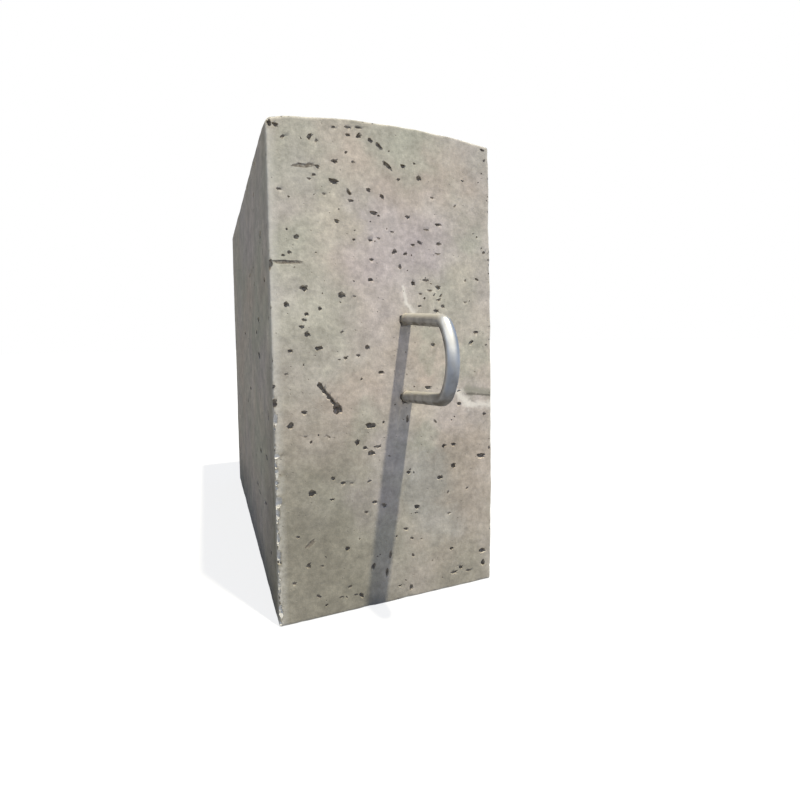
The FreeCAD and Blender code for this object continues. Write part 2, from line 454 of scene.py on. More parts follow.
@dataclass(frozen=True)
class DrawnSteel:
    """Bright drawn round steel bar.

    Drawing through a die leaves it smooth and mirror-like, with faint marks along its length.
    Handling has dulled it in places, and cement paste has dried on it next to the concrete.
    Painted shade darkens it below and inside the bow.
    """

    metal: str = "DCDBD8"
    dull: str = "B7B4AE"
    cement: str = "A59F94"
    # painted shade below the bar and inside the bow
    painted_shade: str = "5E564C"
    dust: str = "9A958B"
    roughness: float = 0.24
    film_reach: float = 0.010
    wear_mm: float = 22.0
    mark_mm: float = 1.1
    mark_stretch: float = 0.06
    mark_relief: float = 0.00015

    def build(self, face: float) -> bpy.types.Material:
        """Make the material.

        Args:
            face: where the concrete's front face is along Y.

        Returns:
            The material.
        """
        material = bpy.data.materials.new("bright_drawn_steel")
        add = start_shading(material)
        marks = self._marks(add)
        film = self._film(add, face)
        cloud = add("TexNoise", {
            "Vector": add("TexCoord").outputs["Object"], "Scale": per_metre(self.wear_mm),
            "Detail": 3.0})
        worn = add("MapRange", [cloud, 0.45, 0.75, 0.0, 0.6])
        painted_shade, dust = self._shade_and_dust(add, cloud)
        colour = coated(add, self.metal, [
            (worn, self.dull), (painted_shade, self.painted_shade), (dust, self.dust), (film, self.cement)])
        # the painted shade, the dust and the cement film make the bar less metallic
        covered = add("Math", [film, painted_shade], operation="MAXIMUM")
        covered = add("Math", [covered, dust], operation="MAXIMUM")
        metallic = add("MapRange", [covered, 0.0, 1.0, 1.0, 0.0])
        rough: Any = self.roughness
        for layer, rise in ((worn, 0.20), (marks, 0.06), (covered, 0.6)):
            rough = add("Math", [layer, rise, rough], operation="MULTIPLY_ADD", use_clamp=True)
        bump = add("Bump", {"Strength": 0.12, "Distance": self.mark_relief, "Height": marks})
        shader = add("BsdfPrincipled", {
            "Base Color": colour, "Metallic": metallic, "Roughness": rough, "Normal": bump})
        add("OutputMaterial", [shader])
        return material

    def _shade_and_dust(self, add: Add, cloud: Any) -> list[Any]:
        """Shares of painted shade and of a dull film of dust, both kept where nothing rubs.

        Args:
            add: adds a node.
            cloud: soft noise that makes both patchy.

        Returns:
            The share of painted shade, below and inside the bow, and of dust on top of the legs.
        """
        way = add("NewGeometry").outputs["Normal"]
        _, inward, upward = add("SeparateXYZ", [way]).outputs
        below = add("MapRange", [upward, 0.2, -0.5, 0.0, 0.9])
        inside = add("MapRange", [inward, -0.45, 0.2, 0.0, 0.88])
        legs = add("MapRange", [inward, -0.4, -0.1])
        above = add("MapRange", [upward, 0.1, 0.6, 0.0, 0.8])
        dark = add("Math", [below, inside], operation="MAXIMUM")
        pale = add("Math", [legs, above], operation="MULTIPLY")
        patchy = add("MapRange", [cloud, 0.3, 0.6, 0.6, 1.0])
        return [add("Math", [share, patchy], operation="MULTIPLY") for share in (dark, pale)]

    def _marks(self, add: Add) -> Any:
        """Fine marks along the bar: noise that changes round it and hardly along it."""
        ring = add("Attribute", attribute_name="ring").outputs["Vector"]
        along = add("Attribute", attribute_name="along").outputs["Fac"]
        across, up, _ = add("SeparateXYZ", [ring]).outputs
        slow = add("Math", [along, self.mark_stretch], operation="MULTIPLY")
        grain = add("CombineXYZ", [across, up, slow])
        return add("TexNoise", {"Vector": grain, "Scale": per_metre(self.mark_mm), "Detail": 3.0})

    def _film(self, add: Add, face: float) -> Any:
        """Share of dried cement paste: full at the face, ragged and gone a little way out."""
        place = add("TexCoord").outputs["Object"]
        deep = add("SeparateXYZ", [place]).outputs["Y"]
        out = add("Math", [face, deep], operation="SUBTRACT")
        sway = uneven(add, place, 8.0, -0.6 * self.film_reach, 0.6 * self.film_reach)
        level = add("Math", [out, sway])
        return add("MapRange", [level, 0.3 * self.film_reach, self.film_reach, 0.9, 0.0])


# ---------------------------------------------------------------- the cast block


class Face(Enum):
    """A face that carries listed voids: the axes of its width, its height and its normal."""

    FRONT = (Vector((1, 0, 0)), Vector((0, 0, 1)), Vector((0, -1, 0)))
    LEFT = (Vector((0, -1, 0)), Vector((0, 0, 1)), Vector((-1, 0, 0)))

    def spot(self, low: Vector, across: float, up: float) -> Vector:
        """A place on the face, from the block's low corner and millimetres across and up."""
        width, height, normal = self.value
        return (width * across + height * up) * MM + normal * normal.dot(low)

    def turned(self, degrees: float) -> Euler:
        """Rotation that lays a void on the face, turned anticlockwise as seen from outside."""
        lay = Matrix(self.value).transposed()
        return (lay @ Matrix.Rotation(math.radians(degrees), 3, "Z")).to_euler()


# Voids that stand out on the front face, in millimetres and degrees: across from the middle,
# height over the underside, long size, short size, turn of the long size from level.
FRONT_VOIDS = (
    # the worm hole left of the loop, a chain of voids with a bulb at its lower end
    (-124, 384, 17, 10, -50), (-117, 375, 19, 9, -50), (-109, 365, 19, 9, -46),
    (-102, 355, 18, 10, -50), (-95, 344, 20, 19, 0),
    # the larger voids below it, down to the foot
    (-39, 312, 22, 12, 0), (-37, 265, 17, 9, 0), (-25, 275, 16, 6, 5), (-48, 275, 9, 8, 0),
    (-62, 286, 12, 9, 60), (-151, 342, 11, 8, 0), (-141, 210, 16, 11, 10), (-105, 230, 9, 8, 0),
    (-88, 220, 10, 8, 0), (-74, 218, 7, 5, 0), (-42, 217, 9, 6, 25), (-33, 180, 10, 8, 0),
    (-15, 172, 11, 8, -20), (-48, 165, 8, 6, 0), (-167, 142, 8, 6, 0), (-150, 92, 11, 8, 90),
    (-127, 87, 7, 5, 0), (-174, 67, 8, 6, 0), (-80, 43, 9, 6, 20), (-135, 38, 11, 6, -30),
    (-95, 28, 10, 5, 0), (-70, 27, 9, 5, 0), (-112, 300, 9, 4, -30), (-150, 303, 7, 4, 0),
    # lower right
    (103, 264, 10, 9, 40), (122, 264, 11, 8, 0), (122, 226, 12, 10, 60), (181, 237, 20, 11, 0),
    (93, 207, 14, 9, 12), (32, 224, 9, 8, 0), (47, 160, 11, 10, 0), (112, 139, 8, 5, 15),
    (25, 124, 10, 7, 0), (36, 106, 8, 6, 0), (-5, 84, 14, 7, 85), (182, 57, 15, 12, 0),
    (136, 34, 9, 8, 0), (121, 27, 16, 7, 5), (151, 25, 14, 6, 0), (34, 17, 12, 8, 90),
    (135, 337, 10, 8, 0), (189, 315, 9, 7, 0), (85, 310, 10, 5, -40), (31, 318, 14, 7, 90),
    (72, 370, 14, 8, 0), (45, 150, 8, 4, 0), (150, 180, 7, 5, 30), (110, 178, 7, 5, 60),
    # top
    (-131, 735, 14, 5, 0), (-120, 731, 8, 8, 0), (-131, 777, 14, 9, 50), (-121, 772, 8, 6, 80),
    (-185, 787, 11, 8, 0), (-92, 796, 9, 6, 0), (-68, 799, 12, 6, 0), (-50, 801, 12, 6, 0),
    (-68, 787, 9, 7, 0), (-49, 788, 11, 9, 60), (-30, 784, 11, 8, -30), (-15, 777, 18, 8, -38),
    (1, 746, 24, 9, -35), (29, 748, 10, 8, 0), (50, 755, 6, 5, 0), (59, 731, 12, 9, 0),
    (-91, 743, 13, 8, 12), (-94, 711, 18, 10, -5), (-126, 718, 9, 6, 0), (-134, 711, 8, 5, 0),
    (-182, 691, 9, 6, 0), (-34, 703, 9, 8, 60), (-10, 694, 11, 8, -40), (-66, 683, 12, 6, 10),
    (-26, 666, 15, 8, 0), (-90, 648, 9, 8, 0), (188, 794, 12, 6, -5), (37, 664, 10, 7, 0),
    (73, 645, 13, 5, 0), (96, 655, 14, 7, 0), (60, 622, 12, 7, -20), (97, 622, 14, 6, 0),
    (46, 617, 9, 6, 0), (12, 605, 10, 8, 0), (32, 602, 9, 7, 40), (95, 604, 14, 5, 0),
    (-32, 621, 9, 6, 0), (-17, 625, 7, 5, 0), (-31, 589, 9, 6, 0), (190, 611, 8, 6, 0),
    (130, 690, 7, 5, 50), (20, 725, 8, 6, 30), (-175, 770, 10, 6, 50), (-60, 745, 8, 5, 0),
    (84, 700, 7, 5, 0), (-110, 690, 8, 5, 0), (146, 735, 7, 4, 0), (8, 637, 8, 5, 0),
    # between the loop and the left arris, and right of the loop
    (-168, 595, 9, 6, 0), (-178, 590, 7, 6, 0), (21, 580, 11, 7, 90), (-33, 556, 11, 8, 0),
    (45, 552, 9, 9, 0), (71, 558, 15, 6, 5), (95, 546, 11, 9, 0), (-146, 540, 15, 11, 10),
    (-175, 514, 11, 9, 0), (-84, 530, 16, 10, 0), (-62, 528, 6, 5, 0), (-121, 508, 8, 7, 0),
    (-143, 499, 9, 8, 0), (-148, 490, 10, 6, 0), (-151, 479, 10, 7, 0), (-143, 467, 12, 9, 0),
    (-127, 444, 11, 9, 20), (-171, 441, 9, 8, 0), (-41, 444, 10, 8, 0), (-57, 431, 9, 6, 0),
    (-16, 401, 13, 8, 0), (96, 524, 11, 6, 20), (104, 513, 10, 7, -30), (91, 505, 12, 7, 0),
    (58, 513, 10, 5, 0), (78, 540, 12, 5, 0), (100, 532, 9, 6, 50), (60, 534, 8, 5, 0),
    (171, 466, 13, 7, 10), (161, 447, 14, 8, 45), (83, 445, 9, 8, 0), (150, 520, 8, 5, 0),
    (-85, 470, 8, 5, 30), (150, 560, 7, 5, 60), (-178, 405, 8, 5, 0), (-90, 425, 7, 4, 0),
    # the larger chips at the near left arris
    (-199, 361, 16, 12, 80), (-199, 576, 22, 9, 88), (-199, 106, 12, 9, 0),
)

# Laps, where one pour met the next: shallow grooves, in the same order of values.
FRONT_LAPS = (
    (-139, 732, 46, 8, 4), (-176, 580, 52, 7, 2), (-146, 127, 20, 8, 40),
)

# Voids that stand out on the left side, in the same order of values.
LEFT_VOIDS = (
    (250, 783, 24, 10, 0), (223, 738, 20, 10, 0), (306, 643, 26, 11, 15), (245, 499, 26, 11, 0),
    (209, 477, 22, 10, 0), (245, 431, 30, 12, -12), (219, 243, 26, 10, 0), (303, 250, 22, 9, 0),
    (151, 156, 26, 11, 0), (183, 149, 20, 9, 0), (273, 159, 28, 11, 15), (340, 560, 18, 9, 0),
    (120, 600, 24, 9, 5), (60, 350, 26, 10, 0), (-40, 480, 24, 9, 0), (330, 90, 20, 9, 0),
)


@dataclass
class CastBlock:
    """The cast block: a slightly uneven shell with worn arrises, cut by voids and chips."""

    low: Vector
    high: Vector
    feet: Sequence[Vector]
    bar_radius: float
    finish: CastConcrete = field(default_factory=CastConcrete)
    crown: float = 0.014
    arris: float = 0.0034
    arris_wear: float = 0.0026
    corner_wear: float = 0.009
    corner_reach: float = 0.050
    rubbed_strip: float = 0.015
    side_bulge: float = 0.0055
    wave: float = 0.0008
    step: Vector = field(default_factory=lambda: Vector((0.010, 0.015, 0.0075)))
    crumbly_height: float = 0.37
    void_rim: float = 0.45
    void_depth: float = 0.42
    side_void_depth: float = 0.75
    lap_depth: float = 0.0007
    foot_gap_depth: float = 0.006
    scattered_per_m2: float = 300.0
    smallest_void: float = 0.003
    largest_void: float = 0.013
    sharp_from: float = math.radians(38)
    seed: int = 7

    def build(self) -> bpy.types.Object:
        """Make the block's mesh and dress it.

        Returns:
            The finished piece.
        """
        tree = self._tree()
        arrises = line_object("arris_lines", self._arrises(), step=2)
        crumbly_top = Vector((self.low.x, self.low.y, self.crumbly_height))
        crumbly = line_object("crumbly_lines", [self.low, crumbly_top], step=2)
        marked = self._marked_voids()
        mesh = run_tree(self._shell(), tree, {
            "Finish": self.finish.build(
                self.low.y, self.high.z, self._stains(), self._streaks()),
            "Marked voids": marked, "Arris lines": arrises, "Crumbly lines": crumbly,
            "Voids per square metre": self.scattered_per_m2, "Seed": self.seed,
            "Smallest void": self.smallest_void, "Largest void": self.largest_void,
        })
        for helper in (marked, arrises, crumbly):
            bpy.data.objects.remove(helper)
        mesh.shade_smooth()
        mesh.set_sharp_from_angle(angle=self.sharp_from)
        return new_object("cast_block", mesh)

    def _stains(self) -> list[Stain]:
        """Soft stains of the front face: where, how far they reach, and their colour."""
        lavender, pink, green, slate = "B5A9AC", "B5A598", "A3A394", "A4A5A2"
        cream, moss, brown, pale = "C0B6A6", "85836F", "A69A8D", "BFBBAC"
        stains = (
            (0, 620, 120, lavender, 0.45), (110, 310, 80, lavender, 0.3),
            (-50, 185, 60, lavender, 0.45), (155, 130, 70, brown, 0.5),
            (-60, 372, 75, pink, 0.55), (-55, 775, 60, pink, 0.45), (150, 235, 130, brown, 0.9),
            # the pink stain at 72 across and 395 up, inside the loop, is painted light that the bar
            # reflects onto the face
            (20, 705, 70, pink, 0.35), (110, 740, 80, pink, 0.4), (72, 395, 45, pink, 0.5),
            (-165, 770, 70, green, 0.3), (-130, 640, 60, pale, 0.3),
            (60, 770, 65, green, 0.5), (-150, 600, 80, green, 0.25),
            (-110, 495, 80, green, 0.3), (160, 640, 60, green, 0.45), (155, 410, 60, green, 0.5),
            (75, 440, 40, green, 0.45), (-45, 305, 45, green, 0.4), (65, 285, 45, green, 0.5),
            (70, 215, 75, slate, 0.5), (80, 130, 80, slate, 0.4), (-88, 655, 60, cream, 0.55),
            (140, 565, 60, cream, 0.3), (-160, 480, 90, pale, 0.6), (-170, 190, 95, moss, 0.4),
            (-115, 55, 120, moss, 0.4),
            (150, 55, 60, moss, 0.25), (-60, 30, 60, moss, 0.3),
        )
        return [Stain(Face.FRONT.spot(self.low, across, up), reach * MM, colour, strength)
                for across, up, reach, colour, strength in stains]

    def _streaks(self) -> list[Streak]:
        """Painted light that the bar reflects onto the face by its feet, and painted shade over a
        ledge at the loop's right.

        Each is told by the foot it is placed from, where it starts and ends across and up from
        there, and its width, all in millimetres, and its colour.
        """
        top, bottom = self.feet
        # the pale streaks are painted light that the bar reflects onto the face, the dark ones
        # painted shade over a ledge
        reflected_light, ledge_shade, shade = "DDD7CD", "8F8C80", "67635A"
        streaks = (
            (top, (-6, 56), (1, 26), 6, reflected_light), (top, (0, 28), (12, 12), 9, reflected_light),
            (bottom, (120, 6), (190, -8), 15, ledge_shade), (bottom, (120, -2), (190, -10), 4.5, shade),
            (bottom, (88, 14), (122, -22), 14, reflected_light), (bottom, (122, -22), (185, -26), 11, reflected_light),
        )
        return [Streak(foot + Vector((start[0], 0, start[1])) * MM,
                       foot + Vector((end[0], 0, end[1])) * MM, width * MM, colour)
                for foot, start, end, width, colour in streaks]

    # ---- the shell

    def _grid(self, axis: int, end: float) -> list[float]:
        """Places of the shell's lines along an axis: even, and closer at both ends."""
        edge = [0.0, 1.2 * MM, 2.6 * MM, 4.5 * MM, 7.5 * MM]
        low = self.low[axis]
        count = round((end - low - 2 * edge[-1]) / self.step[axis])
        middle = np.linspace(low + edge[-1], end - edge[-1], count + 1)[1:-1]
        return [low + e for e in edge] + list(middle) + [end - e for e in reversed(edge)]

    def _shell(self) -> bpy.types.Object:
        """The closed outer skin before anything is cut from it."""
        top = self.high.z - self.crown
        grids = [self._grid(0, self.high.x), self._grid(1, self.high.y), self._grid(2, top)]
        places: dict[tuple[int, int, int], int] = {}
        corners: list[tuple[float, float, float]] = []
        quads: list[list[int]] = []

        def corner(index: tuple[int, int, int]) -> int:
            """Number of the vertex at these lines, made when first asked for."""
            if index not in places:
                places[index] = len(corners)
                corners.append(tuple(grids[a][index[a]] for a in range(3)))
            return places[index]

        for axis in range(3):
            first, second = (axis + 1) % 3, (axis + 2) % 3
            for end in (0, len(grids[axis]) - 1):
                for i in range(len(grids[first]) - 1):
                    for j in range(len(grids[second]) - 1):
                        ring = []
                        for di, dj in ((0, 0), (1, 0), (1, 1), (0, 1)):
                            index = [0, 0, 0]
                            index[axis], index[first], index[second] = end, i + di, j + dj
                            ring.append(corner(tuple(index)))
                        quads.append(ring if end else ring[::-1])
        mesh = bpy.data.meshes.new("block_shell")
        shaped = [self._place(Vector(c), top) for c in corners]
        mesh.from_pydata([place for place, _ in shaped], [], quads)
        rubbed = mesh.attributes.new("rubbed", "FLOAT", "POINT")
        rubbed.data.foreach_set("value", [share for _, share in shaped])
        return new_object("block_shell", mesh)

    def _place(self, point: Vector, top: float) -> tuple[Vector, float]:
        """Round a point of the plain box over the worn arrises and make the faces uneven.

        Args:
            point: the point on the plain box.
            top: height of the top's long arrises.

        Returns:
            The shaped point, and how much it lies on an arris, from 0 to 1.
        """
        worn = noise.noise(point / 0.045) + 0.7 * noise.noise(point / 0.015)
        knocked = (point - Vector((self.low.x, self.low.y, top))).length / self.corner_reach
        radius = max(0.0012, self.arris + self.arris_wear * worn)
        radius += self.corner_wear * max(0.0, 1.0 - knocked) ** 2
        ends = Vector((self.high.x, self.high.y, top))
        inner = Vector(
            min(max(point[a], self.low[a] + radius), ends[a] - radius) for a in range(3)
        )
        out = point - inner
        normal = out.normalized()
        on_arris = 1.0 - max(abs(c) for c in normal)
        shaped = inner + normal * radius
        half = (self.high.x - self.low.x) / 2
        share_up = min(max((shaped.z - 0.75 * top) / (0.25 * top), 0.0), 1.0)
        shaped.z += self.crown * (1 - min(1.0, abs(shaped.x) / half) ** 2) * share_up
        if shaped.x > 0:
            shaped.x += self.side_bulge * math.sin(math.pi * point.z / top) * (shaped.x / half) ** 3
        uneven = noise.noise(point / 0.16) + 0.35 * noise.noise(point / 0.055)
        off_ground = min(1.0, point.z / 0.02)
        shaped += normal * self.wave * uneven * off_ground
        strip = math.hypot(point.x - self.low.x, point.y - self.low.y) / self.rubbed_strip
        return shaped, max(min(1.0, on_arris / 0.25), 1.0 - strip)

    # ---- what is cut from it

    def _arrises(self) -> list[Vector]:
        """The arrises as short straight lines along the crowned top, each as its two ends."""
        low, high = self.low, self.high
        top = high.z - self.crown
        half = (high.x - low.x) / 2
        lines = []
        for x in (low.x, high.x):
            for y in (low.y, high.y):
                lines.append((Vector((x, y, low.z)), Vector((x, y, top))))
            lines.append((Vector((x, low.y, top)), Vector((x, high.y, top))))
            lines.append((Vector((x, low.y, low.z)), Vector((x, high.y, low.z))))
        stations = np.linspace(low.x, high.x, 17)
        for y in (low.y, high.y):
            crest = [Vector((x, y, top + self.crown * (1 - (x / half) ** 2))) for x in stations]
            lines.extend(zip(crest, crest[1:]))
            lines.append((Vector((low.x, y, low.z)), Vector((high.x, y, low.z))))
        return [end for line in lines for end in line]

    def _void_size(self, depth: float, long: float, short: float) -> Vector:
        """Half sizes and depth of a void, the small ones shallower.

        Args:
            depth: depth of a large void, as a share of its short size.
            long: the void's long size in millimetres, to the outer rim of its shading.
            short: its short size in millimetres.

        Returns:
            The half sizes and the depth in metres.
        """
        share = min(max((short - 2.5) / 7.0, 0.35), 1.0)
        return Vector((self.void_rim * long, self.void_rim * short, depth * share * short)) * MM

    def _lap_size(self, long: float, short: float) -> Vector:
        """Half sizes and depth of a lap, from its sizes in millimetres."""
        return Vector((long * MM / 2, short * MM / 2, self.lap_depth))

    def _marked_voids(self) -> bpy.types.Object:
        """A helper object with a vertex for each listed void, and its size and rotation."""
        marks = []
        for face, voids, size in (
            (Face.FRONT, FRONT_VOIDS, partial(self._void_size, self.void_depth)),
            (Face.FRONT, FRONT_LAPS, self._lap_size),
            (Face.LEFT, LEFT_VOIDS, partial(self._void_size, self.side_void_depth)),
        ):
            for across, up, long, short, turn in voids:
                spot = face.spot(self.low, across, up)
                marks.append((spot, size(long, short), face.turned(turn)))
        ring = Vector((1.12 * self.bar_radius, 1.15 * self.bar_radius, self.foot_gap_depth))
        for foot in self.feet:
            marks.append((foot + Vector((-2.5, 0, -2.5)) * MM, ring, Face.FRONT.turned(0)))
        spots, sizes, turns = zip(*marks)
        mesh = bpy.data.meshes.new("marked_voids")
        mesh.from_pydata(spots, [], [])
        for name, values in (("void_size", sizes), ("void_turn", turns)):
            layer = mesh.attributes.new(name, "FLOAT_VECTOR", "POINT")
            layer.data.foreach_set("vector", [c for value in values for c in value])
        return new_object("marked_voids", mesh)

    def _tree(self) -> Tree:
        """The tree that cuts the voids and chips out of the shell."""
        tree, add, given = geometry_tree("pitted_casting", {
            "Finish": "Material", "Marked voids": "Object", "Arris lines": "Object",
            "Crumbly lines": "Object", "Voids per square metre": "Float",
            "Smallest void": "Float", "Largest void": "Float", "Seed": "Int"})
        # the deep mark on the cut faces of the voids sets their painted shade, darker towards the
        # bottom
        small = self._lumps(add, 2, 0.38, "deep")
        large = self._lumps(add, 3, 0.45, "deep")
        broken = self._lumps(add, 2, 0.45, "fresh")
        cutters = [
            self._scattered(add, given, small),
            self._marked(add, given, large),
            self._chips(add, given["Arris lines"], small, 8 * MM, 0.30, (2, 9), 1.0, 31),
            self._chips(add, given["Crumbly lines"], broken, 7 * MM, 0.85, (9, 24), 0.4, 47),
        ]
        cut = add("MeshBoolean", {
            "Mesh 1": given["Geometry"], "Mesh 2": add("JoinGeometry", [cutters])},
            operation="DIFFERENCE", solver="MANIFOLD")
        close_tree(add, cut, given["Finish"])
        return tree

    def _lumps(self, add: Add, divisions: int, lumpiness: float, mark: str) -> Socket:
        """Lumpy balls of radius 1 to cut with, as instances to pick from.

        Args:
            add: adds a node.
            divisions: subdivisions of each ball.
            lumpiness: how far the surface strays from the ball.
            mark: the face attribute that the cut surface gets. It is 1 all over a fresh
            break, and in a void it grows from 0 at the skin to 1 at the bottom, as the share
            of the painted shade.

        Returns:
            The joined instances.
        """
        singles = []
        place = add("InputPosition")
        depth = add("SeparateXYZ", [place]).outputs["Z"]
        # share of the painted shade in a void, growing towards its bottom
        sunk_shade = add("MapRange", [depth, -0.12, -0.62, 0.0, 1.0])
        for number in range(LUMP_COUNT):
            ball = add("MeshIcoSphere", {"Radius": 1.0, "Subdivisions": divisions})
            moved = add("VectorMath", [place, (3.7 * number, 1.9 * number, -2.3 * number)])
            swing = uneven(add, moved, 800.0, -lumpiness, lumpiness, (0.25, 0.75), detail=2.0)
            push = add("VectorMath", {0: place, "Scale": swing}, operation="SCALE")
            lump = add("SetPosition", {"Geometry": ball.outputs["Mesh"], "Offset": push})
            named = add("StoreNamedAttribute", {
                "Geometry": lump, "Name": mark, "Value": sunk_shade if mark == "deep" else 1.0},
                data_type="FLOAT", domain="FACE")
            singles.append(add("GeometryToInstance", [named]))
        return add("JoinGeometry", [singles]).outputs[0]

    def _scattered(self, add: Add, given: Any, lumps: Socket) -> Socket:
        """Voids scattered over every face but the underside, many small and few large."""
        place = add("InputPosition")
        crowd = uneven(add, place, 110.0, 0.35, 1.7, (0.38, 0.62), detail=1.0)
        density = add("Math", [crowd, given["Voids per square metre"]], operation="MULTIPLY")
        height = add("SeparateXYZ", [place]).outputs["Z"]
        clear = add("Compare", {"A": height, "B": 5 * MM},
                    data_type="FLOAT", operation="GREATER_THAN")
        spread = add("DistributePointsOnFaces", {
            "Mesh": given["Geometry"], "Selection": clear, "Density": density,
            "Seed": given["Seed"]})
        chance = add("RandomValue", {"Min": 0.0, "Max": 1.0, "Seed": 11}, data_type="FLOAT")
        rare = add("Math", [chance, 5.0], operation="POWER")
        size = add("MapRange", [rare, 0.0, 1.0, given["Smallest void"], given["Largest void"]])
        shape = add("RandomValue", {
            "Min": (0.42, 0.30, 0.22), "Max": (0.72, 0.44, 0.50), "Seed": 13},
            data_type="FLOAT_VECTOR")
        scale = add("VectorMath", {0: shape, "Scale": size}, operation="SCALE")
        spin = add("RandomValue", {
            "Min": (0, 0, 0), "Max": (0, 0, math.tau), "Seed": 17}, data_type="FLOAT_VECTOR")
        spin = add("EulerToRotation", [spin])
        turn = add("RotateRotation", [spread.outputs["Rotation"], spin], rotation_space="LOCAL")
        return self._instances(add, spread.outputs["Points"], lumps, turn, scale, 19)

    def _marked(self, add: Add, given: Any, lumps: Socket) -> Socket:
        """The listed voids and laps."""
        spots = add("ObjectInfo", {"Object": given["Marked voids"]})
        size, turn = (add("InputNamedAttribute", [name], data_type="FLOAT_VECTOR")
                      for name in ("void_size", "void_turn"))
        rotation = add("EulerToRotation", [turn])
        return self._instances(add, spots.outputs["Geometry"], lumps, rotation, size, 23)

    def _chips(self, add: Add, lines: Socket, lumps: Socket, gap: float, chance: float,
               sizes_mm: tuple[float, float], depth: float, seed: int) -> Socket:
        """Chips broken out along lines.

        Args:
            add: adds a node.
            lines: the helper object that holds the lines.
            lumps: what to cut with.
            gap: distance between the places a chip can be.
            chance: share of those places that have one.
            sizes_mm: smallest and largest chip.
            depth: how deep a chip goes behind the front, as a share of its size.
            seed: first of the random seeds.

        Returns:
            The instances to cut.
        """
        edges = add("ObjectInfo", {"Object": lines})
        curves = add("MeshToCurve", {"Mesh": edges.outputs["Geometry"]})
        points = add("CurveToPoints", {"Curve": curves, "Length": gap}, mode="LENGTH")
        jitter = add("RandomValue", {
            "Min": (-1.6 * MM,) * 3, "Max": (1.6 * MM,) * 3, "Seed": seed},
            data_type="FLOAT_VECTOR")
        loose = add("SetPosition", {"Geometry": points.outputs["Points"], "Offset": jitter})
        pick, draw = (add("RandomValue", {
            "Min": 0.0, "Max": 1.0, "Seed": seed + extra}, data_type="FLOAT") for extra in (1, 2))
        chosen = add("Compare", {"A": pick, "B": chance}, data_type="FLOAT", operation="LESS_THAN")
        rare = add("Math", [draw, 2.5], operation="POWER")
        size = add("MapRange", [rare, 0.0, 1.0, sizes_mm[0] * MM / 2, sizes_mm[1] * MM / 2])
        shape = add("RandomValue", {
            "Min": (0.5, 0.5 * depth, 0.5), "Max": (1.0, depth, 1.25), "Seed": seed + 3},
            data_type="FLOAT_VECTOR")
        scale = add("VectorMath", {0: shape, "Scale": size}, operation="SCALE")
        spin = add("RandomValue", {
            "Min": (-0.3, -0.3, -0.3), "Max": (0.3, 0.3, 0.3), "Seed": seed + 4},
            data_type="FLOAT_VECTOR")
        rotation = add("EulerToRotation", [spin])
        return self._instances(add, loose, lumps, rotation, scale, seed + 5, chosen)

    def _instances(self, add: Add, points: Any, lumps: Socket, turn: Any, scale: Any,
                   seed: int, chosen: Any = True) -> Socket:
        """Put a picked lump on each chosen point."""
        pick = add("RandomValue", {"Min": 0, "Max": LUMP_COUNT - 1, "Seed": seed}, data_type="INT")
        return add("InstanceOnPoints", {
            "Points": points, "Selection": chosen, "Instance": lumps, "Pick Instance": True,
            "Instance Index": pick, "Rotation": turn, "Scale": scale}).outputs[0]


# ---------------------------------------------------------------- the lifting loop


